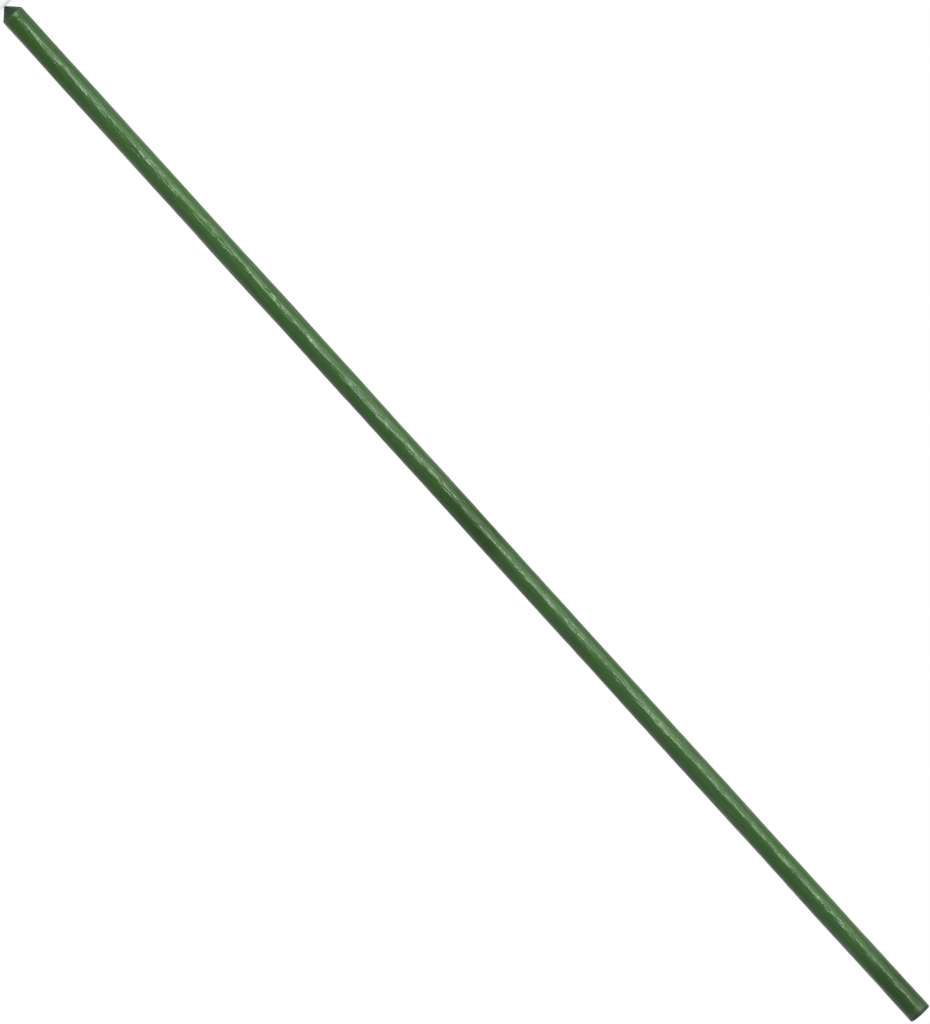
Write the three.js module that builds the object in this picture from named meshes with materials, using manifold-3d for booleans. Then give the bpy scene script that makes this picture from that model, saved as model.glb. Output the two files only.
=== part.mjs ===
// Plant stake: a thin welded steel tube in a plastic sheath, with a moulded point plugged into its lower
// end and a moulded cap plugged into its upper end.
// Millimetres, +Z up. The origin is the apex of the point, and the Z axis is the axis of the tube.

import * as THREE from "three";
import { mergeVertices } from "three/addons/utils/BufferGeometryUtils.js";
import Module from "manifold-3d";

// Whole stake
const STAKE_LENGTH = 900; // from the apex of the point to the flat top of the cap
const STAKE_DIAMETER = 16; // over the sheath

// Tube
const TUBE_WALL = 0.5;
const WELD_BEAD_WIDTH = 1.2; // seam bead that runs down the inside of the bore
const WELD_BEAD_HEIGHT = 0.2;

// Sheath
const SHEATH_WALL = 0.5;
const BOND_GAP = 0.05; // between the tube and the sheath drawn over it
const END_BEAD_HEIGHT = 0.06; // swelling where the hot sheath was cut to length
const END_BEAD_LENGTH = 4.5;
const END_BEAD_RUNOUT = 2; // length over which the swelling fades into the plain sheath

// Point
const POINT_ANGLE = 90; // degrees across the cone
const APEX_RADIUS = 1.2;
const POINT_RIM_STEP = 0.2; // from the edge of the sheath in to the rim of the cone
const POINT_RIM_LAND = 0.3; // straight edge of the rim
const POINT_SPIGOT_LENGTH = 24;

// Cap
const FLANGE_THICKNESS = 2.4;
const FLANGE_EDGE_RADIUS = 1;
const CAP_SPIGOT_LENGTH = 16;

// Finned spigots that hold the point and the cap in the tube
const SPIGOT_WALL = 1.6;
const SPIGOT_NOSE_CHAMFER = 0.6;
const FIN_HEIGHT = 0.9;
const FIN_LAND = 0.5; // flat crest of a fin
const FIN_RAMP = 1.3; // sloping side that enters the tube first
const FIN_PITCH = 3.6;
const FIN_CLEARANCE = 0.1; // between the fins and the weld bead
const SEAT_GAP = 0.1; // between the end of the tube and the shoulder seated on it

// Facets
const ROUND_STEPS = 48; // around every turned piece
const ARC_STEPS = 5; // along every rounded edge

// Radii, from the outside in
const sheathRadius = STAKE_DIAMETER / 2;
const sheathBoreRadius = sheathRadius - SHEATH_WALL;
const tubeRadius = sheathBoreRadius - BOND_GAP;
const boreRadius = tubeRadius - TUBE_WALL;
const finRadius = boreRadius - WELD_BEAD_HEIGHT - FIN_CLEARANCE;
const spigotRadius = finRadius - FIN_HEIGHT;
const coreRadius = spigotRadius - SPIGOT_WALL;

// Heights, from the apex up
const halfAngle = THREE.MathUtils.degToRad(POINT_ANGLE / 2);
const coneRadius = sheathRadius - POINT_RIM_STEP;
const sharpApexHeight = APEX_RADIUS - APEX_RADIUS / Math.sin(halfAngle);
const coneTop = sharpApexHeight + coneRadius / Math.tan(halfAngle);
const pointShoulder = coneTop + POINT_RIM_LAND;
const tubeBottom = pointShoulder + SEAT_GAP;
const tubeTop = STAKE_LENGTH - FLANGE_THICKNESS - SEAT_GAP;
const tubeLength = tubeTop - tubeBottom;

// A solid turned about Z from [radius, height] pairs, listed up the outside and back down the inside.
function turned(profile) {
  const points = profile.map(([radius, height]) => new THREE.Vector2(radius, height));
  return new THREE.LatheGeometry(points, ROUND_STEPS).rotateX(Math.PI / 2);
}

// [radius, height] pairs along an arc, between two angles in degrees counted up from the radius axis.
function arc(centreRadius, centreHeight, radius, fromDegrees, toDegrees) {
  return Array.from({ length: ARC_STEPS + 1 }, (_, step) => {
    const degrees = THREE.MathUtils.lerp(fromDegrees, toDegrees, step / ARC_STEPS);
    const angle = THREE.MathUtils.degToRad(degrees);
    return [centreRadius + radius * Math.cos(angle), centreHeight + radius * Math.sin(angle)];
  });
}

// Outline of a hollow finned spigot that leaves its shoulder in one direction, +1 for up and -1 for down.
// It runs from the foot of the spigot, over the fins, round the open end and back to the bottom of the core.
function spigotOutline(shoulder, length, direction) {
  const at = (distance) => shoulder + direction * distance;
  const finFoot = FIN_LAND + FIN_RAMP;
  const finCount = Math.floor((length - SPIGOT_NOSE_CHAMFER - finFoot) / FIN_PITCH);
  const outline = [[spigotRadius, shoulder]];
  for (let fin = 1; fin <= finCount; fin++) {
    const back = fin * FIN_PITCH;
    outline.push([spigotRadius, at(back)]);
    outline.push([finRadius, at(back)]);
    outline.push([finRadius, at(back + FIN_LAND)]);
    outline.push([spigotRadius, at(back + finFoot)]);
  }
  outline.push([spigotRadius, at(length - SPIGOT_NOSE_CHAMFER)]);
  outline.push([spigotRadius - SPIGOT_NOSE_CHAMFER, at(length)]);
  outline.push([coreRadius, at(length)]);
  outline.push([coreRadius, at(SPIGOT_WALL)]);
  outline.push([0, at(SPIGOT_WALL)]);
  return outline;
}

const wasm = await Module();
wasm.setup();

// A closed three.js geometry as a solid that can be joined to another.
function solidOf(geometry) {
  const bare = geometry.clone();
  bare.deleteAttribute("normal");
  bare.deleteAttribute("uv");
  const merged = mergeVertices(bare);
  return new wasm.Manifold(
    new wasm.Mesh({
      numProp: 3,
      vertProperties: new Float32Array(merged.attributes.position.array),
      triVerts: new Uint32Array(merged.index.array),
    }),
  );
}

// Two closed geometries joined into one.
function joined(first, second) {
  const mesh = solidOf(first).add(solidOf(second)).getMesh();
  const geometry = new THREE.BufferGeometry();
  geometry.setAttribute("position", new THREE.BufferAttribute(mesh.vertProperties, 3));
  geometry.setIndex(new THREE.BufferAttribute(mesh.triVerts, 1));
  geometry.computeVertexNormals();
  return geometry;
}

// Round tube, from z = 0 up, with the bead of its weld seam down the inside of the wall at +X.
function steelTubeGeometry() {
  const wall = turned([
    [boreRadius, 0],
    [tubeRadius, 0],
    [tubeRadius, tubeLength],
    [boreRadius, tubeLength],
    [boreRadius, 0],
  ]);
  const root = boreRadius + TUBE_WALL / 2;
  const side = WELD_BEAD_WIDTH / 2;
  const section = new THREE.Shape();
  section.moveTo(root, -side);
  section.lineTo(root, side);
  section.lineTo(boreRadius, side);
  section.quadraticCurveTo(boreRadius - 2 * WELD_BEAD_HEIGHT, 0, boreRadius, -side);
  const bead = new THREE.ExtrudeGeometry(section, {
    depth: tubeLength,
    bevelEnabled: false,
    curveSegments: ARC_STEPS + 1,
  });
  return joined(wall, bead);
}

// Sheath as long as the tube, from z = 0 up, slightly swollen at both cut ends.
function plasticSheathGeometry() {
  const beadRadius = sheathRadius + END_BEAD_HEIGHT;
  const runoutEnd = END_BEAD_LENGTH + END_BEAD_RUNOUT;
  return turned([
    [sheathBoreRadius, 0],
    [beadRadius, 0],
    [beadRadius, END_BEAD_LENGTH],
    [sheathRadius, runoutEnd],
    [sheathRadius, tubeLength - runoutEnd],
    [beadRadius, tubeLength - END_BEAD_LENGTH],
    [beadRadius, tubeLength],
    [sheathBoreRadius, tubeLength],
    [sheathBoreRadius, 0],
  ]);
}

// Blunt cone from z = 0 up, with a straight rim, a shoulder for the tube and a spigot above it.
function pointTipGeometry() {
  return turned([
    ...arc(0, APEX_RADIUS, APEX_RADIUS, -90, -POINT_ANGLE / 2),
    [coneRadius, coneTop],
    [coneRadius, pointShoulder],
    ...spigotOutline(pointShoulder, POINT_SPIGOT_LENGTH, 1),
  ]);
}

// Round flange from z = 0 down, with a flat top, a rounded edge and a spigot below it.
function topCapGeometry() {
  const edgeCentre = sheathRadius - FLANGE_EDGE_RADIUS;
  const fromTopDown = [
    [0, 0],
    ...arc(edgeCentre, -FLANGE_EDGE_RADIUS, FLANGE_EDGE_RADIUS, 90, 0),
    [sheathRadius, -FLANGE_THICKNESS],
    ...spigotOutline(-FLANGE_THICKNESS, CAP_SPIGOT_LENGTH, -1),
  ];
  return turned(fromTopDown.reverse());
}

const steel = new THREE.MeshStandardMaterial({ color: 0xa4a6a4, roughness: 0.4, metalness: 1 });
const glossyGreen = new THREE.MeshStandardMaterial({ color: 0x47703a, roughness: 0.3, metalness: 0 });
const pointGreen = new THREE.MeshStandardMaterial({ color: 0x384b3e, roughness: 0.6, metalness: 0 });
const capGreen = new THREE.MeshStandardMaterial({ color: 0x3c4f3f, roughness: 0.6, metalness: 0 });

// A named piece whose own z = 0 stands at the given height.
function piece(name, geometry, material, height) {
  const mesh = new THREE.Mesh(geometry, material);
  mesh.name = name;
  mesh.position.z = height;
  return mesh;
}

const plantStake = new THREE.Group();
plantStake.add(
  piece("point_tip", pointTipGeometry(), pointGreen, 0),
  piece("steel_tube", steelTubeGeometry(), steel, tubeBottom),
  piece("plastic_sheath", plasticSheathGeometry(), glossyGreen, tubeBottom),
  piece("top_cap", topCapGeometry(), capGreen, STAKE_LENGTH),
);

export default plantStake;
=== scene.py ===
# %% [markdown]
# # A plastic-coated steel plant stake
# The stake is a thin steel tube in a tight green plastic sheath. A blunt moulded point closes its lower
# end and a flat moulded cap closes its upper end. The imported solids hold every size, so this lesson only
# dresses them: it makes a finer sheath, point and cap, gives every surface a finish, and then sets up a
# small studio. Everything is in metres, with the stake upright and the apex of the point at the origin.

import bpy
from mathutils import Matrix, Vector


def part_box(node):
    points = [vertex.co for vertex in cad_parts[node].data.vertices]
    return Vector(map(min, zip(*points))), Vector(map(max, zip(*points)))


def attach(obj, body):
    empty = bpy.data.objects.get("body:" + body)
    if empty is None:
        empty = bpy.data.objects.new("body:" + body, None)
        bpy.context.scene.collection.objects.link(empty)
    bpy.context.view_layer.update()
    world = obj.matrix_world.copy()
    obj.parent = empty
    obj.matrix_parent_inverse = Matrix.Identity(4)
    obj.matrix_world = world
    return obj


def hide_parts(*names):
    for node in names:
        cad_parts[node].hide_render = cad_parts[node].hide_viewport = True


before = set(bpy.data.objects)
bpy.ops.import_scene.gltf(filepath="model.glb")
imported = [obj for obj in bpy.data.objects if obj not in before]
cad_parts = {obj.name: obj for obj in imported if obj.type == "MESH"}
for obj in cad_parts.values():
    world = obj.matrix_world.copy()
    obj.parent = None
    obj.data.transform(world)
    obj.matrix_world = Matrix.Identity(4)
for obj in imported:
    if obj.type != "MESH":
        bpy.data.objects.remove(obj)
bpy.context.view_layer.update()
print("solids:", sorted(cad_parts))

# %% [markdown]
# ## Sizes that come from the frame
# A piece that replaces a solid has to sit exactly where the solid is. The corner points of the solids'
# boxes give the radii and heights that matter, so nothing is measured by eye. The few sizes that a box
# can't give, such as the thickness of a wall, are named where they are first used.

# %% Read the sizes
import math

MM = 0.001

sheath_low, sheath_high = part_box("plastic_sheath")
point_low, point_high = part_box("point_tip")
cap_low, cap_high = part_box("top_cap")
tube_low, tube_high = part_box("steel_tube")

bead_radius = sheath_high.x
cone_radius = point_high.x
flange_radius = cap_high.x
tube_radius = tube_high.y
stake_length = cap_high.z - point_low.z
print(f"stake {stake_length / MM:.1f} mm long, {2 * flange_radius / MM:.2f} mm across the cap")
print(f"tube from {tube_low.z / MM:.2f} to {tube_high.z / MM:.2f} mm")

# %% [markdown]
# ## Turning a piece
# The sheath, the point and the cap are all round, so each one is a flat outline turned about the Z axis.
# An outline starts as a few corners that span one face. Bevelling a corner of that face rounds it, and
# then the face goes and only its edges are spun. The spin ends on its own start, so the doubles are merged
# and the normals recalculated, which leaves one closed skin that points outwards.

# %% Helpers for outlines
import bmesh

CORNER_STEPS = 5


def outline_from(corners):
    """A bmesh with one face in the XZ plane, from (radius, height) corners."""
    bm = bmesh.new()
    bm.faces.new([bm.verts.new((radius, 0, height)) for radius, height in corners])
    return bm


def round_corner(bm, corner, radius, segments=CORNER_STEPS):
    """Rounds the outline's corner that lies at the given (radius, height)."""
    place = (corner[0], 0, corner[1])
    nearest = min(bm.verts, key=lambda vert: math.dist(vert.co, place))
    bmesh.ops.bevel(
        bm,
        geom=[nearest],
        offset=radius,
        offset_type="OFFSET",
        segments=segments,
        profile=0.5,
        affect="VERTICES",
        material=-1,
    )


# %% Helpers for turned pieces
import bpy

MERGE_DISTANCE = 0.001 * MM
SMOOTH_ANGLE = math.radians(35)


def turn(bm, steps):
    """Spins the outline's edges once round the Z axis and closes the skin."""
    bmesh.ops.delete(bm, geom=bm.faces[:], context="FACES_ONLY")
    on_axis = [edge for edge in bm.edges if max(vert.co.x for vert in edge.verts) < MERGE_DISTANCE]
    bmesh.ops.delete(bm, geom=on_axis, context="EDGES")
    bmesh.ops.spin(
        bm,
        geom=bm.verts[:] + bm.edges[:],
        cent=(0, 0, 0),
        axis=(0, 0, 1),
        angle=2 * math.pi,
        steps=steps,
        use_merge=True,
    )
    bmesh.ops.remove_doubles(bm, verts=bm.verts[:], dist=MERGE_DISTANCE)
    bmesh.ops.recalc_face_normals(bm, faces=bm.faces[:])


def piece_from(bm, name):
    """Turns a bmesh into a smooth-shaded object at the origin, and prints what it holds."""
    open_edges = sum(edge.is_boundary for edge in bm.edges)
    mesh = bpy.data.meshes.new(name)
    bm.to_mesh(mesh)
    bm.free()
    mesh.shade_smooth()
    mesh.set_sharp_from_angle(angle=SMOOTH_ANGLE)
    piece = bpy.data.objects.new(name, mesh)
    bpy.context.scene.collection.objects.link(piece)
    triangles = sum(len(polygon.vertices) - 2 for polygon in mesh.polygons)
    print(f"{name}: {triangles} triangles, {open_edges} open edges")
    return piece


# %% [markdown]
# ## The sheath
# The green plastic is drawn hot over the steel tube and cut to length. The heat of the cut makes its two
# ends swell a little and rounds their edges, and the ends come down close to the shoulders of the plugs.
# The outline holds just that. Its outer edges are then cut into short steps, because the rings of points
# that they turn into are pushed in and out afterwards.

# %% Work out the sheath's corners
SHEATH_WALL = 0.5 * MM
END_BEAD_HEIGHT = 0.06 * MM
END_BEAD_LENGTH = 4.5 * MM
END_BEAD_RUNOUT = 2 * MM
SEAT_REACH = 0.08 * MM  # how much nearer to the plugs' shoulders it comes than its solid does

sheath_radius = bead_radius - END_BEAD_HEIGHT
sheath_bore = sheath_radius - SHEATH_WALL
middle_of_wall = sheath_radius - SHEATH_WALL / 2
sheath_bottom = sheath_low.z - SEAT_REACH
sheath_top = sheath_high.z + SEAT_REACH
runout_end = END_BEAD_LENGTH + END_BEAD_RUNOUT
bottom_corner = (bead_radius, sheath_bottom)
top_corner = (bead_radius, sheath_top)
print(f"sheath {2 * sheath_radius / MM:.2f} mm across, {2 * sheath_bore / MM:.2f} mm in the bore")

# %% Turn the sheath's outline
CUT_EDGE_RADIUS = 0.25 * MM
SHORT_EDGE = 10 * MM
RING_SPACING = 1.6 * MM
END_RING_SPACING = 0.5 * MM
SHEATH_STEPS = 150


def divide_outside(bm):
    """Cuts the sheath's outer edges into even steps, with finer ones in the short edges near its ends."""
    outside = [edge for edge in bm.edges if min(vert.co.x for vert in edge.verts) > middle_of_wall]
    for edge in outside:
        length = edge.calc_length()
        spacing = END_RING_SPACING if length < SHORT_EDGE else RING_SPACING
        cuts = round(length / spacing) - 1
        if cuts > 0:
            bmesh.ops.subdivide_edges(bm, edges=[edge], cuts=cuts)


sheath_bm = outline_from([
    (sheath_bore, sheath_bottom),
    bottom_corner,
    (bead_radius, sheath_bottom + END_BEAD_LENGTH),
    (sheath_radius, sheath_bottom + runout_end),
    (sheath_radius, sheath_top - runout_end),
    (bead_radius, sheath_top - END_BEAD_LENGTH),
    top_corner,
    (sheath_bore, sheath_top),
])
round_corner(sheath_bm, bottom_corner, CUT_EDGE_RADIUS)
round_corner(sheath_bm, top_corner, CUT_EDGE_RADIUS)
divide_outside(sheath_bm)
print(f"sheath outline: {len(sheath_bm.verts)} points")
turn(sheath_bm, SHEATH_STEPS)

# %% [markdown]
# ## The sheath's lumps
# Drawn plastic isn't a perfect cylinder. It follows the tube with shallow lumps that are longer along the
# stake than around it, and these break the reflection of a lamp into short bright streaks. A bump map
# alone would leave the outline and the mesh smooth, so the lumps are real: each point of the outer wall
# moves in or out by a noise that is stretched along the stake. Slow bends and short waves are everywhere,
# and smaller lumps come in patches. Each noise has a size around the stake and a size along it.

# %% Measure the lumps
from mathutils import Vector, noise

BEND_HEIGHT = 0.3 * MM
BEND_SIZE = (6.0 * MM, 60.0 * MM)
BEND_SEED = 53
WAVE_HEIGHT = 0.07 * MM
WAVE_SIZE = (2.6 * MM, 8.0 * MM)
WAVE_SEED = 0
LUMP_HEIGHT = 0.13 * MM
LUMP_SIZE = (1.0 * MM, 5.0 * MM)
LUMP_SEED = 17
PATCH_SIZE = (6.0 * MM, 10.0 * MM)
PATCH_SEED = 31
PATCH_COVER = 0.3  # strength of the lumps where the noise of the patches is zero
PATCH_CONTRAST = 2  # how fast the lumps come and go with that noise


def stretched(point, size, seed):
    """A noise between about -1 and 1, with features of a size around and along the stake."""
    around, along = size
    return noise.noise(Vector((point.x / around, point.y / around, point.z / along + seed)))


def lump_height(point):
    """How far the wall stands out of its plain round shape at a point."""
    patch = PATCH_COVER + PATCH_CONTRAST * stretched(point, PATCH_SIZE, PATCH_SEED)
    strength = min(1, max(0, patch))
    bend = BEND_HEIGHT * stretched(point, BEND_SIZE, BEND_SEED)
    wave = WAVE_HEIGHT * stretched(point, WAVE_SIZE, WAVE_SEED)
    lump = LUMP_HEIGHT * strength * stretched(point, LUMP_SIZE, LUMP_SEED)
    return bend + wave + lump


# %% [markdown]
# ## The press marks
# Near each end are four shallow marks around the stake, where the soft plastic was pressed on. Each is a
# smooth hollow, so a bell curve over the distance from its middle gives its depth. The angle around the
# stake is counted from the nearest mark and the height from the nearer end, so one formula serves them all.

# %% Measure the press marks
PRESS_MARKS = 4
PRESS_BEARING = math.radians(-106)
PRESS_DEPTH = 0.22 * MM
PRESS_WIDTH = 1.6 * MM
PRESS_LENGTH = 2.6 * MM
PRESS_FROM_END = 3.2 * MM


def press_depth(point):
    """How deep the nearest press mark is at a point."""
    step = 2 * math.pi / PRESS_MARKS
    turned = (math.atan2(point.y, point.x) - PRESS_BEARING + step / 2) % step - step / 2
    around = turned * sheath_radius / PRESS_WIDTH
    from_end = min(point.z - sheath_bottom, sheath_top - point.z)
    along = (from_end - PRESS_FROM_END) / PRESS_LENGTH
    return PRESS_DEPTH * math.exp(-around ** 2 - along ** 2)


print(f"press marks: {PRESS_MARKS} near each end, {PRESS_DEPTH / MM:.2f} mm deep")

# %% Push the outer wall in and out
heights = []
for vert in sheath_bm.verts:
    outward = Vector((vert.co.x, vert.co.y, 0))
    if outward.length > middle_of_wall:
        heights.append(lump_height(vert.co) - press_depth(vert.co))
        vert.co += outward.normalized() * heights[-1]
print(f"lumps from {min(heights) / MM:.3f} to {max(heights) / MM:.3f} mm")
sheath = piece_from(sheath_bm, "sheath_skin")

# %% [markdown]
# ## The plugs' spigots
# The point and the cap are both pushed into the tube on a hollow spigot with ring-shaped fins. The fins
# slope on the side that goes in first and are square on the other, so they slip in and then hold, just
# clear of the weld bead inside the tube. They can't be seen on a whole stake, but each plug is one
# moulding, so its mesh has them. One function gives the outline for both, up from the point's shoulder or
# down from the cap's.

# %% Outline of a spigot
TUBE_WALL = 0.5 * MM
FIN_CLEARANCE = 0.3 * MM  # from the bore in to the fins, which leaves room for the weld bead
FIN_HEIGHT = 0.9 * MM
FIN_LAND = 0.5 * MM
FIN_RAMP = 1.3 * MM
FIN_PITCH = 3.6 * MM
SPIGOT_WALL = 1.6 * MM
NOSE_CHAMFER = 0.6 * MM

fin_radius = tube_radius - TUBE_WALL - FIN_CLEARANCE
spigot_radius = fin_radius - FIN_HEIGHT
core_radius = spigot_radius - SPIGOT_WALL


def spigot_outline(shoulder, end):
    """Corners from the foot of the spigot over its fins to the bottom of its core, on the axis."""
    direction = 1 if end > shoulder else -1
    length = abs(end - shoulder)
    fin_foot = FIN_LAND + FIN_RAMP
    fins = int((length - NOSE_CHAMFER - fin_foot) / FIN_PITCH)
    corners = [(spigot_radius, 0)]
    for fin in range(1, fins + 1):
        back = fin * FIN_PITCH
        corners.append((spigot_radius, back))
        corners.append((fin_radius, back))
        corners.append((fin_radius, back + FIN_LAND))
        corners.append((spigot_radius, back + fin_foot))
    corners.append((spigot_radius, length - NOSE_CHAMFER))
    corners.append((spigot_radius - NOSE_CHAMFER, length))
    corners.append((core_radius, length))
    corners.append((core_radius, SPIGOT_WALL))
    corners.append((0, SPIGOT_WALL))
    return [(radius, shoulder + direction * distance) for radius, distance in corners]


print(f"spigots {2 * spigot_radius / MM:.2f} mm across, {2 * fin_radius / MM:.2f} mm over their fins")

# %% [markdown]
# ## The point
# The point is a blunt cone of darker plastic, moulded in two halves. Its apex is rounded so that it slides
# past stones, its rim is a little smaller than the sheath, and a fine raised line runs down both sides
# where the halves of the mould met. The cone is turned like the sheath. The raised line is made by moving
# the two columns of points that lie in the mould's plane.

# %% Turn the point
POINT_HALF_ANGLE = math.radians(45)
APEX_RADIUS = 1.2 * MM
APEX_STEPS = 6
RIM_LAND = 0.3 * MM
RIM_EDGE_RADIUS = 0.15 * MM
SEAT_GAP = 0.1 * MM
PLUG_STEPS = 96

point_shoulder = sheath_low.z - SEAT_GAP
cone_top = point_shoulder - RIM_LAND
rim_corner = (cone_radius, cone_top)
sharp_apex = cone_top - cone_radius / math.tan(POINT_HALF_ANGLE)
apex_cut = APEX_RADIUS * math.cos(POINT_HALF_ANGLE)
flank_start = (apex_cut, sharp_apex + apex_cut / math.tan(POINT_HALF_ANGLE))
apex_angles = [step / APEX_STEPS * (math.pi / 2 - POINT_HALF_ANGLE) for step in range(APEX_STEPS)]
apex_arc = [(APEX_RADIUS * math.sin(angle), APEX_RADIUS * (1 - math.cos(angle))) for angle in apex_angles]
point_bm = outline_from([
    *apex_arc,
    flank_start,
    rim_corner,
    (cone_radius, point_shoulder),
    *spigot_outline(point_shoulder, point_high.z),
])
round_corner(point_bm, rim_corner, RIM_EDGE_RADIUS)
turn(point_bm, PLUG_STEPS)

# %% Raise the point's parting line
PARTING_LINE_HEIGHT = 0.05 * MM

for vert in point_bm.verts:
    outward = Vector((vert.co.x, vert.co.y, 0))
    in_mould_plane = abs(vert.co.y) < MERGE_DISTANCE and outward.length > apex_cut
    if in_mould_plane and vert.co.z < cone_top:
        vert.co += outward.normalized() * PARTING_LINE_HEIGHT
point = piece_from(point_bm, "point_plug")

# %% [markdown]
# ## The cap
# The cap is a flat round flange of dark plastic, flush with the sheath, with a rounded edge that is kind to
# a hand. In the middle of its top is the small round dimple, with a nub, where the plastic entered the mould.

# %% Turn the cap
FLANGE_THICKNESS = 2.4 * MM
FLANGE_EDGE_RADIUS = 1.0 * MM
FLANGE_EDGE_STEPS = 8
GATE_RADIUS = 1.4 * MM
GATE_DEPTH = 0.25 * MM
GATE_NUB_RADIUS = 0.5 * MM
GATE_EDGE_RADIUS = 0.12 * MM

cap_shoulder = cap_high.z - FLANGE_THICKNESS
flange_corner = (flange_radius, cap_high.z)
gate_corner = (GATE_RADIUS, cap_high.z)
cap_bm = outline_from([
    (0, cap_high.z - GATE_DEPTH / 2),
    (GATE_NUB_RADIUS, cap_high.z - GATE_DEPTH / 2),
    (GATE_NUB_RADIUS, cap_high.z - GATE_DEPTH),
    (GATE_RADIUS, cap_high.z - GATE_DEPTH),
    gate_corner,
    flange_corner,
    (flange_radius, cap_shoulder),
    *spigot_outline(cap_shoulder, cap_low.z),
])
round_corner(cap_bm, flange_corner, FLANGE_EDGE_RADIUS, segments=FLANGE_EDGE_STEPS)
round_corner(cap_bm, gate_corner, GATE_EDGE_RADIUS)
turn(cap_bm, PLUG_STEPS)
cap = piece_from(cap_bm, "cap_plug")

# %% [markdown]
# ## The pieces take their places
# Nothing on a stake moves, so every piece rides on the one body. Each new piece hides the plain solid that
# it stands for. The steel tube keeps its solid.

# %% Ride and replace
for piece, node, slot in (
    (sheath, "plastic_sheath", "sheath"),
    (point, "point_tip", "point"),
    (cap, "top_cap", "cap"),
):
    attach(piece, "root")
    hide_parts(node)
    print(f"{piece.name} stands for {node}")

# %% [markdown]
# ## Finishes
# Every finish is built from noise on Object coordinates, which are metres here. A Mapping node divides them
# by a size, so that a noise is named by how big its features are around the stake and along it, because
# drawn plastic and drawn steel both have marks that are longer along it. Most of a noise's values lie near
# one half, so a ramp or a range is spread over the middle part only.

# %% Helpers for finishes and noise
NOISE_DETAIL = 3
NOISE_ROUGHNESS = 0.55


def new_finish(name):
    """A node material, its tree and its Principled shader."""
    finish = bpy.data.materials.new(name)
    finish.use_nodes = True
    return finish, finish.node_tree, finish.node_tree.nodes["Principled BSDF"]


def stretched_noise(tree, size, detail=NOISE_DETAIL):
    """A noise whose features are about this big around and along the stake. Returns its factor socket."""
    around, along = size
    place = tree.nodes.new("ShaderNodeTexCoord")
    scale = tree.nodes.new("ShaderNodeMapping")
    scale.inputs["Scale"].default_value = (1 / around, 1 / around, 1 / along)
    cloud = tree.nodes.new("ShaderNodeTexNoise")
    cloud.inputs["Scale"].default_value = 1
    cloud.inputs["Detail"].default_value = detail
    cloud.inputs["Roughness"].default_value = NOISE_ROUGHNESS
    tree.links.new(place.outputs["Object"], scale.inputs["Vector"])
    tree.links.new(scale.outputs["Vector"], cloud.inputs["Vector"])
    return cloud.outputs["Fac"]


# %% Helpers for ramps, ranges and bumps
NOISE_MIDDLE = 0.5
NOISE_SPREAD = 0.4


def colour_ramp(tree, factor, stops):
    """A colour ramp over a factor, from (position, colour) stops. Returns its colour socket."""
    ramp = tree.nodes.new("ShaderNodeValToRGB")
    elements = ramp.color_ramp.elements
    while len(elements) < len(stops):
        elements.new(0.5)  # its true position is set below
    for element, (position, colour) in zip(elements, stops):
        element.position = position
        element.color = (*colour, 1)
    tree.links.new(factor, ramp.inputs["Fac"])
    return ramp.outputs["Color"]


def two_tone(tree, factor, first, second, spread=NOISE_SPREAD):
    """A ramp from one colour to another over the middle part of a noise. Returns its colour socket."""
    low, high = NOISE_MIDDLE - spread / 2, NOISE_MIDDLE + spread / 2
    return colour_ramp(tree, factor, ((low, first), (high, second)))


def value_range(tree, factor, low, high):
    """Maps the middle part of a noise to two values. Returns the result's socket."""
    mapped = tree.nodes.new("ShaderNodeMapRange")
    mapped.inputs["From Min"].default_value = NOISE_MIDDLE - NOISE_SPREAD / 2
    mapped.inputs["From Max"].default_value = NOISE_MIDDLE + NOISE_SPREAD / 2
    mapped.inputs["To Min"].default_value = low
    mapped.inputs["To Max"].default_value = high
    tree.links.new(factor, mapped.inputs["Value"])
    return mapped.outputs["Result"]


def add_bump(tree, shader, height, distance, below=None):
    """A bump of a height in metres, on top of another bump if there is one. Returns its normal socket."""
    bump = tree.nodes.new("ShaderNodeBump")
    bump.inputs["Distance"].default_value = distance
    tree.links.new(height, bump.inputs["Height"])
    if below is not None:
        tree.links.new(below, bump.inputs["Normal"])
    tree.links.new(bump.outputs["Normal"], shader.inputs["Normal"])
    return bump.outputs["Normal"]


# %% [markdown]
# ## Marks at a height
# Some marks belong to one place on the stake: its cut ends are pale, its upper end is a little duller, and
# the very point is dark. The Z of the Object coordinates is the height above the apex, so a range over it,
# or a ramp over its share of the stake's length, puts such a mark in its place. A mark is then laid over the
# colour below it by a Mix node, whose colour sockets have to be picked by number because other sockets of
# the node have the same names.

# %% Helpers for marks at a height
MIX_FIRST = 6
MIX_SECOND = 7
MIX_RESULT = 2


def height_range(tree, bottom, top, low, high):
    """Maps two heights on the stake, in metres, to two values. Returns the result's socket."""
    place = tree.nodes.new("ShaderNodeTexCoord")
    split = tree.nodes.new("ShaderNodeSeparateXYZ")
    mapped = tree.nodes.new("ShaderNodeMapRange")
    mapped.inputs["From Min"].default_value = bottom
    mapped.inputs["From Max"].default_value = top
    mapped.inputs["To Min"].default_value = low
    mapped.inputs["To Max"].default_value = high
    tree.links.new(place.outputs["Object"], split.inputs["Vector"])
    tree.links.new(split.outputs["Z"], mapped.inputs["Value"])
    return mapped.outputs["Result"]


def ramp_up_stake(tree, stops):
    """A colour ramp up the stake, from (height in metres, colour) stops. Returns its colour socket."""
    share = height_range(tree, 0, stake_length, 0, 1)
    return colour_ramp(tree, share, [(height / stake_length, colour) for height, colour in stops])


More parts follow.
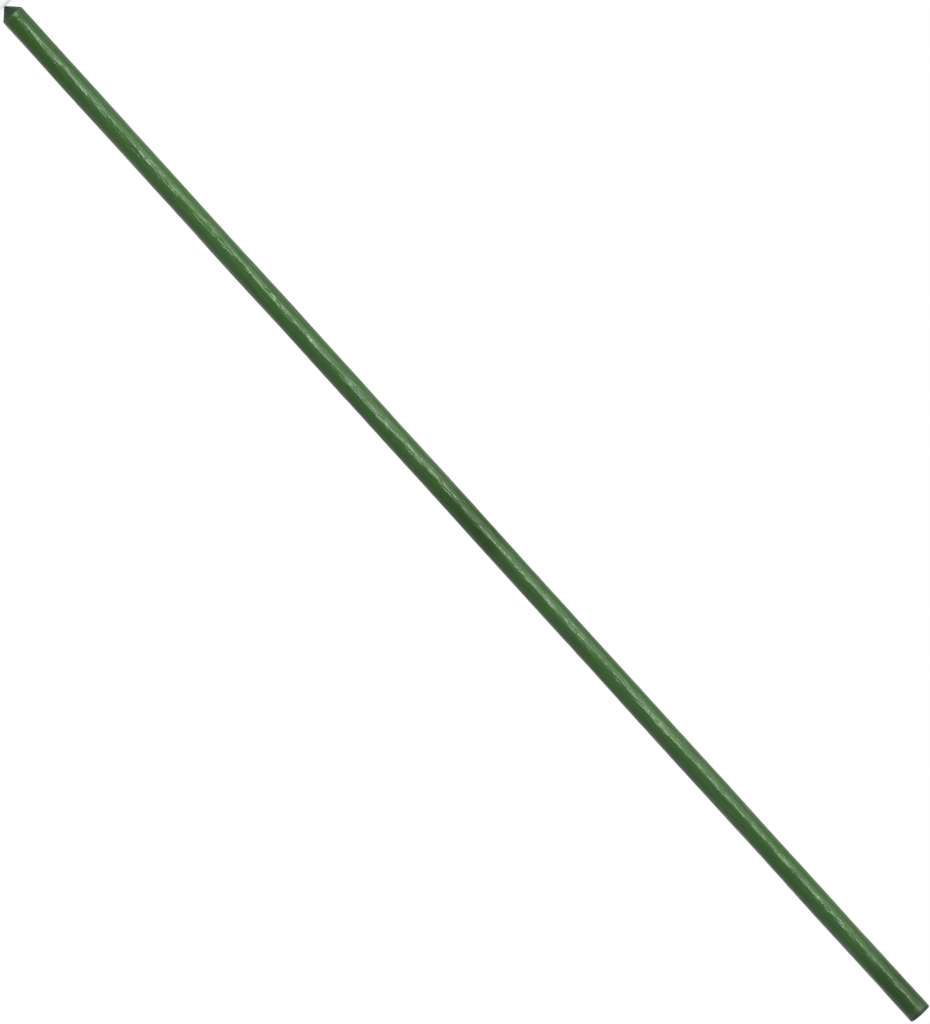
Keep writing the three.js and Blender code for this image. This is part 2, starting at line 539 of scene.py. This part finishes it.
def mix_colours(tree, blend, first, second, factor=None):
    """Blends a second colour socket over a first one, by a factor socket or all the way."""
    mix = tree.nodes.new("ShaderNodeMix")
    mix.data_type = "RGBA"
    mix.blend_type = blend
    mix.inputs["Factor"].default_value = 1
    if factor is not None:
        tree.links.new(factor, mix.inputs["Factor"])
    tree.links.new(first, mix.inputs[MIX_FIRST])
    tree.links.new(second, mix.inputs[MIX_SECOND])
    return mix.outputs[MIX_RESULT]


def grey(value):
    """A grey as three equal parts."""
    return (value, value, value)


# %% [markdown]
# ## The sheath's green
# The sheath is mid green, but not evenly. The pigment is drawn out into long faint streaks, wide clouds are
# a little warmer or cooler, and some stretches of the stake are darker or paler than the rest. Each
# of these is a ramp of its own, and they are multiplied, so that each one can be changed by itself.

# %% Mix the sheath's green
STREAK_SIZE = (1.2 * MM, 45 * MM)
STREAK_SPREAD = 0.5
DARK_GREEN = (0.027, 0.086, 0.017)
LIGHT_GREEN = (0.037, 0.112, 0.023)
CLOUD_SIZE = (9 * MM, 14 * MM)
CLOUD_SPREAD = 0.3
WARM_CLOUD = (1.10, 1.05, 0.80)
COOL_CLOUD = (0.84, 0.93, 1.12)

sheath_finish, sheath_tree, sheath_shader = new_finish("drawn_green_plastic")
streaks = two_tone(
    sheath_tree, stretched_noise(sheath_tree, STREAK_SIZE), DARK_GREEN, LIGHT_GREEN, STREAK_SPREAD
)
clouds = two_tone(
    sheath_tree, stretched_noise(sheath_tree, CLOUD_SIZE), WARM_CLOUD, COOL_CLOUD, CLOUD_SPREAD
)
clouded_green = mix_colours(sheath_tree, "MULTIPLY", streaks, clouds)
print(f"streaks {STREAK_SIZE[1] / MM:.0f} mm long, clouds {CLOUD_SIZE[1] / MM:.0f} mm long")

# %% Darken some stretches of the stake
PLAIN = grey(1)
PALER = grey(1.1)
DARK_FOOT = (0.62, 0.76, 0.42)
DARK_MIDDLE = (0.51, 0.61, 0.33)
DARK_HEAD = (0.52, 0.57, 0.36)
STRETCHES = (
    (36 * MM, DARK_FOOT),
    (90 * MM, PLAIN),
    (155 * MM, PALER),
    (225 * MM, PALER),
    (250 * MM, PLAIN),
    (405 * MM, PLAIN),
    (452 * MM, DARK_MIDDLE),
    (478 * MM, DARK_MIDDLE),
    (491 * MM, PLAIN),
    (837 * MM, PLAIN),
    (873 * MM, DARK_HEAD),
)

stretches = ramp_up_stake(sheath_tree, STRETCHES)
sheath_green = mix_colours(sheath_tree, "MULTIPLY", clouded_green, stretches)
print(f"sheath's green: {len(STRETCHES)} stops up the stake")

# %% [markdown]
# ## The cut ends
# Over the last two millimetres at each end the sheath is pale: partly scuffs left by the hot cut and some
# handling, partly a painted highlight on the rounded cut edge. A pale green for both is therefore mixed in
# there, strongest at the very edge.

# %% Make the cut ends pale
SCUFF_HIGHLIGHT_SIZE = (0.8 * MM, 0.8 * MM)
# painted highlight: these pale greens stand partly for the gloss on the rounded cut edge, partly for scuffs
DARK_SCUFF_HIGHLIGHT = (0.080, 0.130, 0.070)
PALE_SCUFF_HIGHLIGHT = (0.135, 0.172, 0.125)
PALE_END = 2.2 * MM
PALE_SHARE = 0.45  # of the scuffed colour with its painted highlight, at the very edge

scuffs_and_highlight = two_tone(sheath_tree, stretched_noise(sheath_tree, SCUFF_HIGHLIGHT_SIZE), DARK_SCUFF_HIGHLIGHT, PALE_SCUFF_HIGHLIGHT)
scuffed_highlight_ends = ramp_up_stake(sheath_tree, (
    (sheath_bottom, grey(PALE_SHARE)),
    (sheath_bottom + PALE_END, grey(0)),
    (sheath_top - PALE_END, grey(0)),
    (sheath_top, grey(PALE_SHARE)),
))
sheath_colour = mix_colours(sheath_tree, "MIX", sheath_green, scuffs_and_highlight, scuffed_highlight_ends)
sheath_tree.links.new(sheath_colour, sheath_shader.inputs["Base Color"])
print(f"pale ends: {PALE_END / MM:.1f} mm")

# %% [markdown]
# ## The sheath's gloss
# The plastic has a wet-looking gloss that is sharper in some patches than in others. Near the upper end it
# is a little duller, where hands hold the stake. The roughness is therefore a patchy noise plus a range over
# the height. The reflections on the stake are slightly green, so the shader's specular tint is too.

# %% Make the sheath glossy
GLOSS_SIZE = (3 * MM, 10 * MM)
GLOSS_ROUGHNESS = (0.13, 0.36)
DULL_END = 26 * MM
DULL_ROUGHNESS = 0.08
SHEATH_SPECULAR = 0.28
SHEATH_SPECULAR_TINT = (0.88, 1.0, 0.83, 1)

gloss = value_range(sheath_tree, stretched_noise(sheath_tree, GLOSS_SIZE), *GLOSS_ROUGHNESS)
wear = height_range(sheath_tree, sheath_top - DULL_END, sheath_top, 0, DULL_ROUGHNESS)
worn_gloss = sheath_tree.nodes.new("ShaderNodeMath")
worn_gloss.operation = "ADD"
sheath_tree.links.new(gloss, worn_gloss.inputs[0])
sheath_tree.links.new(wear, worn_gloss.inputs[1])
sheath_tree.links.new(worn_gloss.outputs["Value"], sheath_shader.inputs["Roughness"])
sheath_shader.inputs["Specular IOR Level"].default_value = SHEATH_SPECULAR
sheath_shader.inputs["Specular Tint"].default_value = SHEATH_SPECULAR_TINT
print(f"dull end: {DULL_END / MM:.0f} mm")

# %% [markdown]
# ## The sheath's skin
# A reflection shows slopes that are far too shallow to change the outline. Three bumps on top of the real
# lumps give those: a long swell that bends the bright streak, ripples that break it into a chain of short
# dashes, and a grain like the skin of an orange. Each bump takes the one below it as its normal.

# %% Make the sheath's skin uneven
SWELL_SIZE = (2.6 * MM, 16 * MM)
SWELL_HEIGHT = 0.45 * MM
RIPPLE_SIZE = (0.8 * MM, 3.5 * MM)
RIPPLE_HEIGHT = 0.12 * MM
GRAIN_SIZE = (0.3 * MM, 0.5 * MM)
GRAIN_HEIGHT = 0.001 * MM
SMOOTH_DETAIL = 1

swell_noise = stretched_noise(sheath_tree, SWELL_SIZE, SMOOTH_DETAIL)
ripple_noise = stretched_noise(sheath_tree, RIPPLE_SIZE, SMOOTH_DETAIL)
grain_noise = stretched_noise(sheath_tree, GRAIN_SIZE)
swell = add_bump(sheath_tree, sheath_shader, swell_noise, SWELL_HEIGHT)
ripple = add_bump(sheath_tree, sheath_shader, ripple_noise, RIPPLE_HEIGHT, swell)
add_bump(sheath_tree, sheath_shader, grain_noise, GRAIN_HEIGHT, ripple)
sheath.data.materials.append(sheath_finish)
print(f"{sheath_finish.name}: {len(sheath_tree.nodes)} nodes")

# %% [markdown]
# ## The moulded plugs
# The point and the cap are a darker, greyer green than the sheath, the cap the darker of the two, with the
# dull skin of a sparked mould. The very apex of the point is darker. One function makes both finishes:
# blotches of two colours, a dark ramp at the apex, and a fine grain.

# %% Helper for moulded plastic
BLOTCH_SIZE = (1.5 * MM, 1.5 * MM)
APEX_SHADE = 0.5
APEX_DARK_HEIGHT = 0.4 * MM
APEX_CLEAN_HEIGHT = 1.4 * MM
DULL_PATCH_SIZE = (0.8 * MM, 0.8 * MM)
PLUG_ROUGHNESS = (0.40, 0.54)
PLUG_SPECULAR = 0.26
SPARK_SIZE = (0.22 * MM, 0.22 * MM)
SPARK_HEIGHT = 0.02 * MM


def moulded_finish(name, dark, light):
    """A dull moulded plastic, uneven in colour and gloss, and darker at the very point of the stake."""
    finish, tree, shader = new_finish(name)
    blotches = two_tone(tree, stretched_noise(tree, BLOTCH_SIZE), dark, light)
    apex = ramp_up_stake(tree, ((APEX_DARK_HEIGHT, grey(APEX_SHADE)), (APEX_CLEAN_HEIGHT, grey(1))))
    roughness = value_range(tree, stretched_noise(tree, DULL_PATCH_SIZE), *PLUG_ROUGHNESS)
    tree.links.new(mix_colours(tree, "MULTIPLY", blotches, apex), shader.inputs["Base Color"])
    tree.links.new(roughness, shader.inputs["Roughness"])
    shader.inputs["Specular IOR Level"].default_value = PLUG_SPECULAR
    add_bump(tree, shader, stretched_noise(tree, SPARK_SIZE), SPARK_HEIGHT)
    print(f"{name}: {len(tree.nodes)} nodes")
    return finish


# %% Make the plugs' finishes
DARK_POINT = (0.020, 0.048, 0.021)
LIGHT_POINT = (0.029, 0.070, 0.030)
DARK_CAP = (0.017, 0.033, 0.017)
LIGHT_CAP = (0.026, 0.048, 0.026)

point_finish = moulded_finish("moulded_point_plastic", DARK_POINT, LIGHT_POINT)
cap_finish = moulded_finish("moulded_cap_plastic", DARK_CAP, LIGHT_CAP)
point.data.materials.append(point_finish)
cap.data.materials.append(cap_finish)

# %% [markdown]
# ## The steel tube
# The tube is closed in by the sheath and the plugs, so it only shows when the stake is taken apart. It is
# bright drawn strip, with fine lines along its length. One noise gives the lines their colour, gloss and
# depth together, because all three come from the same scratches.

# %% Make the steel's finish
LINE_SIZE = (0.15 * MM, 40 * MM)
LINE_DETAIL = 5
LINE_DEPTH = 0.01 * MM
DARK_STEEL = (0.30, 0.30, 0.29)
LIGHT_STEEL = (0.46, 0.47, 0.46)
STEEL_ROUGHNESS = (0.28, 0.46)

steel_finish, steel_tree, steel_shader = new_finish("drawn_steel")
lines = stretched_noise(steel_tree, LINE_SIZE, LINE_DETAIL)
steel_colour = two_tone(steel_tree, lines, DARK_STEEL, LIGHT_STEEL)
steel_roughness = value_range(steel_tree, lines, *STEEL_ROUGHNESS)
steel_tree.links.new(steel_colour, steel_shader.inputs["Base Color"])
steel_tree.links.new(steel_roughness, steel_shader.inputs["Roughness"])
steel_shader.inputs["Metallic"].default_value = 1
add_bump(steel_tree, steel_shader, lines, LINE_DEPTH)

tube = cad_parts["steel_tube"]
tube.data.materials.clear()
tube.data.materials.append(steel_finish)
print(f"{steel_finish.name}: {len(steel_tree.nodes)} nodes")

# %% [markdown]
# ## The camera
# The stake lies across the picture from corner to corner, flat to the camera, with its point at the upper
# left. The camera therefore stands level with the middle of the stake and is rolled, not the stake. Two
# pixels fix it: where the apex and the middle of the cap's top fall in a picture of 930 by 1024. Their
# distance gives the scale, and the scale and the lens give the distance of the camera.

# %% Place the camera
from mathutils import Matrix

PICTURE = Vector((930, 1024))
APEX_PIXEL = Vector((4.6, 6.5))
CAP_PIXEL = Vector((920.7, 1014.4))
LENS = 320  # in millimetres, like the sensor
SENSOR = 36

span = CAP_PIXEL - APEX_PIXEL
pixels_per_metre = span.length / stake_length
camera_distance = LENS / SENSOR * max(PICTURE) / pixels_per_metre  # the sensor spans the longer side
along_picture = span.normalized()
right = Vector((-along_picture.y, 0, along_picture.x))
up = Vector((-along_picture.x, 0, -along_picture.y))
to_camera = Vector((0, -1, 0))
aim_offset = PICTURE / 2 - (APEX_PIXEL + CAP_PIXEL) / 2
stake_middle = Vector((0, 0, stake_length / 2))
aim = stake_middle + (right * aim_offset.x - up * aim_offset.y) / pixels_per_metre

camera_data = bpy.data.cameras.new("camera")
camera_data.lens = LENS
camera_data.sensor_width = SENSOR
camera = bpy.data.objects.new("camera", camera_data)
turned_to_view = Matrix((right, up, to_camera)).transposed()
camera.matrix_world = Matrix.Translation(aim + to_camera * camera_distance) @ turned_to_view.to_4x4()
bpy.context.scene.collection.objects.link(camera)
bpy.context.scene.camera = camera
print(f"camera {camera_distance:.3f} m from the stake")

# %% [markdown]
# ## The light
# A tall narrow lamp a little to one side of the camera draws the bright streak down the stake, and a wide
# softbox beside it lights that side. Two dim ones far to the left and right keep the flanks from going
# black. The last two hang high behind the stake: they light its back without paling the edges that the
# camera sees. The lamps are set by radiance, the brightness of their face, because that is what a gloss
# shows: the power of an area lamp is its radiance times its area times pi.

# %% Hang the softboxes
LAMP_DISTANCE = 4
LAMP_HEIGHT = 2.4
WIDE = 3.9
NARROW = 0.6


def softbox(name, bearing, width, radiance, rise=0):
    """A lamp that faces the stake's middle. Bearing, from the camera towards -X, and rise are in degrees."""
    lamp = bpy.data.lights.new(name, "AREA")
    lamp.shape = "RECTANGLE"
    lamp.size = width
    lamp.size_y = LAMP_HEIGHT
    lamp.energy = radiance * width * LAMP_HEIGHT * math.pi
    turn_aside = Matrix.Rotation(math.radians(-bearing), 3, "Z")
    lift = Matrix.Rotation(math.radians(-rise), 3, "X")
    away = turn_aside @ lift @ to_camera
    holder = bpy.data.objects.new(name, lamp)
    facing = away.to_track_quat("Z", "Y").to_matrix().to_4x4()
    holder.matrix_world = Matrix.Translation(stake_middle + away * LAMP_DISTANCE) @ facing
    bpy.context.scene.collection.objects.link(holder)
    print(f"{name}: {lamp.energy:.1f} W")


softbox("strip_light", bearing=25, width=NARROW, radiance=21)
softbox("main_softbox", bearing=44, width=WIDE, radiance=3.4)
softbox("flank_softbox", bearing=100, width=WIDE, radiance=0.25)
softbox("fill_softbox", bearing=-95, width=WIDE, radiance=0.42)
softbox("far_softbox", bearing=-130, width=WIDE, radiance=2.5, rise=40)
softbox("back_softbox", bearing=180, width=WIDE, radiance=3, rise=40)

# %% [markdown]
# ## The white room
# The room around the stake is white to the camera and in reflections, so no horizon is seen. All other rays
# see only the dim light of the room, so that the white background doesn't light the stake. A Light Path
# node tells the two kinds of ray apart, and the floor needs the same test, so it is a helper.

# %% Helper for rays that see the background
def seen_directly(tree):
    """A factor that is 1 for camera, glossy and transmission rays and 0 for all others."""
    path = tree.nodes.new("ShaderNodeLightPath")
    camera_or_glossy = tree.nodes.new("ShaderNodeMath")
    camera_or_glossy.operation = "MAXIMUM"
    any_of_three = tree.nodes.new("ShaderNodeMath")
    any_of_three.operation = "MAXIMUM"
    tree.links.new(path.outputs["Is Camera Ray"], camera_or_glossy.inputs[0])
    tree.links.new(path.outputs["Is Glossy Ray"], camera_or_glossy.inputs[1])
    tree.links.new(camera_or_glossy.outputs["Value"], any_of_three.inputs[0])
    tree.links.new(path.outputs["Is Transmission Ray"], any_of_three.inputs[1])
    return any_of_three.outputs["Value"]


# %% Set the world
ROOM_LIGHT = 0.11
WHITE = (1, 1, 1, 1)

world = bpy.data.worlds.new("white_room")
bpy.context.scene.world = world
world.use_nodes = True
world_tree = world.node_tree
room = world_tree.nodes["Background"]
room.inputs["Color"].default_value = WHITE
room.inputs["Strength"].default_value = ROOM_LIGHT
white = world_tree.nodes.new("ShaderNodeBackground")
white.inputs["Color"].default_value = WHITE
white.inputs["Strength"].default_value = 1
either = world_tree.nodes.new("ShaderNodeMixShader")
world_tree.links.new(seen_directly(world_tree), either.inputs["Fac"])
world_tree.links.new(room.outputs["Background"], either.inputs[1])
world_tree.links.new(white.outputs["Background"], either.inputs[2])
world_tree.links.new(either.outputs["Shader"], world_tree.nodes["World Output"].inputs["Surface"])
bpy.context.scene.view_settings.view_transform = "Standard"
print(f"{world.name}: {len(world_tree.nodes)} nodes")

# %% [markdown]
# ## The floor
# The floor is a small pale disc under the point, and it keeps the stake's shadow there. A larger floor would
# reflect in the lower end of the stake in place of the lamps.

# %% Lay the floor
FLOOR_RADIUS = 0.14
FLOOR_STEPS = 96

floor_bm = bmesh.new()
bmesh.ops.create_circle(floor_bm, cap_ends=True, segments=FLOOR_STEPS, radius=FLOOR_RADIUS)
floor = piece_from(floor_bm, "floor")

# %% [markdown]
# ## The floor's finish
# The floor glows a little to the camera, more towards its rim, where it fades into the white of the room.
# The glow therefore rises with the distance from the point, and the Light Path test keeps it from lighting
# the stake. The underside is clear, so that it doesn't hide the point from a camera below it.

# %% Make the floor pale
FLOOR_COLOUR = (0.8, 0.8, 0.8, 1)
FLOOR_ROUGHNESS = 0.9
SHADOW_REACH = (0.05, 0.13)  # distances from the point between which the glow rises
FLOOR_GLOW = (0.38, 0.6)

floor_finish, floor_tree, floor_shader = new_finish("pale_floor")
floor_shader.inputs["Base Color"].default_value = FLOOR_COLOUR
floor_shader.inputs["Roughness"].default_value = FLOOR_ROUGHNESS
floor_shader.inputs["Specular IOR Level"].default_value = 0
floor_shader.inputs["Emission Color"].default_value = WHITE
place = floor_tree.nodes.new("ShaderNodeTexCoord")
from_point = floor_tree.nodes.new("ShaderNodeVectorMath")
from_point.operation = "LENGTH"
fade = floor_tree.nodes.new("ShaderNodeMapRange")
fade.inputs["From Min"].default_value, fade.inputs["From Max"].default_value = SHADOW_REACH
fade.inputs["To Min"].default_value, fade.inputs["To Max"].default_value = FLOOR_GLOW
glow = floor_tree.nodes.new("ShaderNodeMath")
glow.operation = "MULTIPLY"
floor_tree.links.new(place.outputs["Object"], from_point.inputs[0])
floor_tree.links.new(from_point.outputs["Value"], fade.inputs["Value"])
floor_tree.links.new(fade.outputs["Result"], glow.inputs[0])
floor_tree.links.new(seen_directly(floor_tree), glow.inputs[1])
floor_tree.links.new(glow.outputs["Value"], floor_shader.inputs["Emission Strength"])
print(f"floor's glow: {FLOOR_GLOW[0]} near the point, {FLOOR_GLOW[1]} at the rim")

# %% Make the floor's underside clear
facing = floor_tree.nodes.new("ShaderNodeNewGeometry")
clear = floor_tree.nodes.new("ShaderNodeBsdfTransparent")
one_sided = floor_tree.nodes.new("ShaderNodeMixShader")
floor_tree.links.new(facing.outputs["Backfacing"], one_sided.inputs["Fac"])
floor_tree.links.new(floor_shader.outputs["BSDF"], one_sided.inputs[1])
floor_tree.links.new(clear.outputs["BSDF"], one_sided.inputs[2])
floor_tree.links.new(one_sided.outputs["Shader"], floor_tree.nodes["Material Output"].inputs["Surface"])
floor.data.materials.append(floor_finish)
print(f"{floor_finish.name}: {len(floor_tree.nodes)} nodes")
